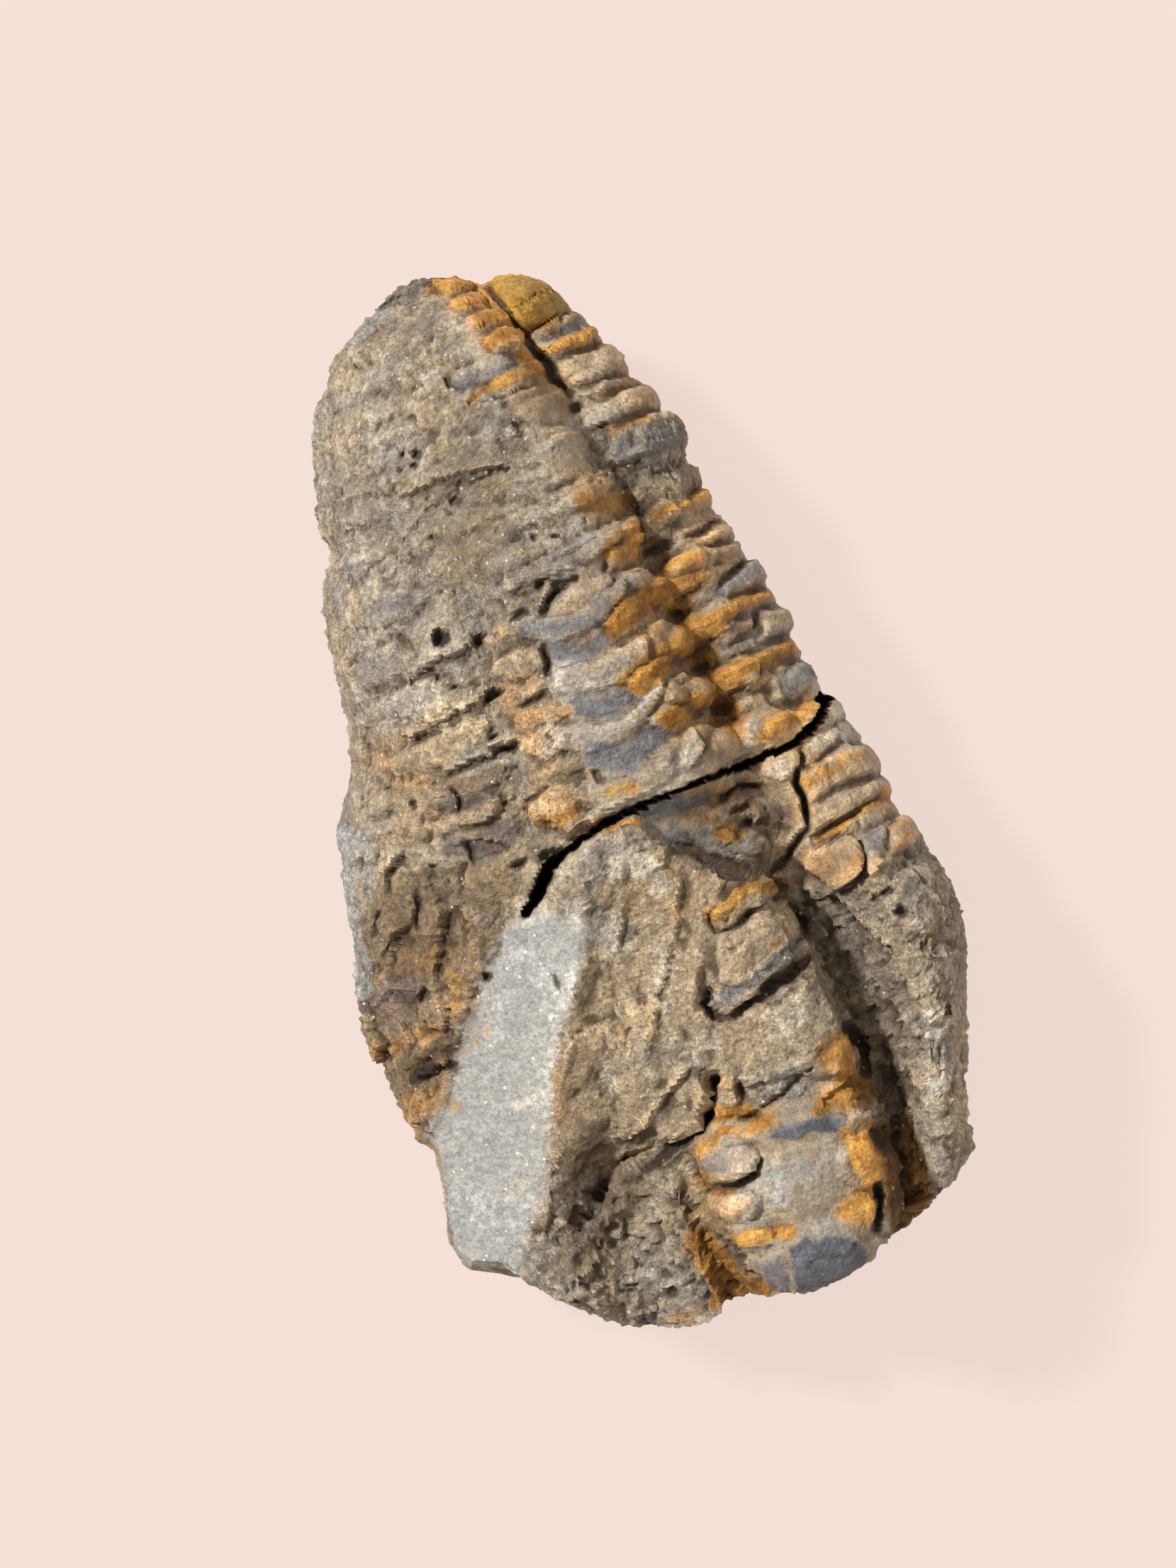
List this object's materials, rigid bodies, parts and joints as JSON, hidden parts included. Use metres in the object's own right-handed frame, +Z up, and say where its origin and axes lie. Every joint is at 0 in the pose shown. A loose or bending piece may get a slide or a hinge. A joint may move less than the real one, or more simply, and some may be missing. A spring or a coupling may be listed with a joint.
{
  "type": "trilobite fossil",
  "caption": "Weathered trilobite fossil lying belly down in a long lump of its own siltstone, with a ribbed back, a lobed head and an open crack between them.",
  "frame": {"origin": "on the flat broken underside that the stone lies on, below the middle of the fossil", "axes": "+Z up through the animal's back, +Y along the body towards the tail, +X to the right when the stone is seen from above with the tail away from the viewer"},
  "size_m": [0.0563, 0.0985, 0.0336],
  "materials": {
    "siltstone": "dull, gritty broken stone, grey-brown with ochre and rust stains and blue-grey worn shell"
  },
  "bodies": {
    "root": {"trilobite_fossil": "siltstone"}
  },
  "joints": []
}
